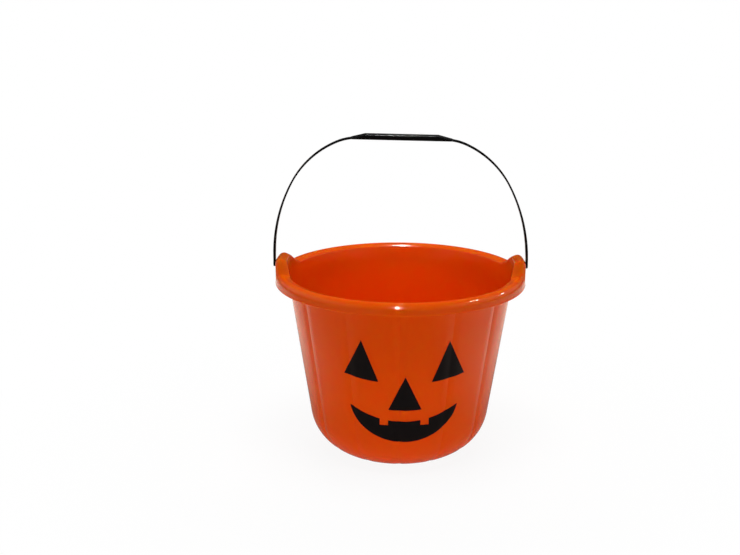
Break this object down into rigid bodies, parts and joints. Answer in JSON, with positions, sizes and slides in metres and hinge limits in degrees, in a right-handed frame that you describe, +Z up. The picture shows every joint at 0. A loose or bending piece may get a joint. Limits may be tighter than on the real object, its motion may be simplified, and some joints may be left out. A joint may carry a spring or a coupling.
{
  "type": "pumpkin candy pail",
  "caption": "Open plastic pail with pumpkin lobes, a rolled rim with raised ears, a swinging bail handle with a grip and a jack-o'-lantern face; it holds and carries sweets.",
  "frame": {"origin": "middle of the base, at the level that the foot ring stands on", "axes": "+Z up, -Y the way the face looks, X through the two ears and their pivots"},
  "size_m": [0.2136, 0.21, 0.2712],
  "materials": {
    "orange_plastic": "satin moulded polypropylene",
    "black_plastic": "satin moulded polyethylene",
    "black_film": "thin printed film"
  },
  "bodies": {
    "pail": {"pail_body": "orange_plastic", "left_eye": "black_film", "right_eye": "black_film", "nose": "black_film", "mouth_grin": "black_film"},
    "handle": {"bail_handle": "black_plastic"}
  },
  "joints": [
    {"name": "handle_swing", "type": "hinge", "parent": "pail", "child": "handle", "pos_m": [0, 0, 0.1622], "axis": [1, 0, 0], "range_deg": [-91, 91]}
  ]
}
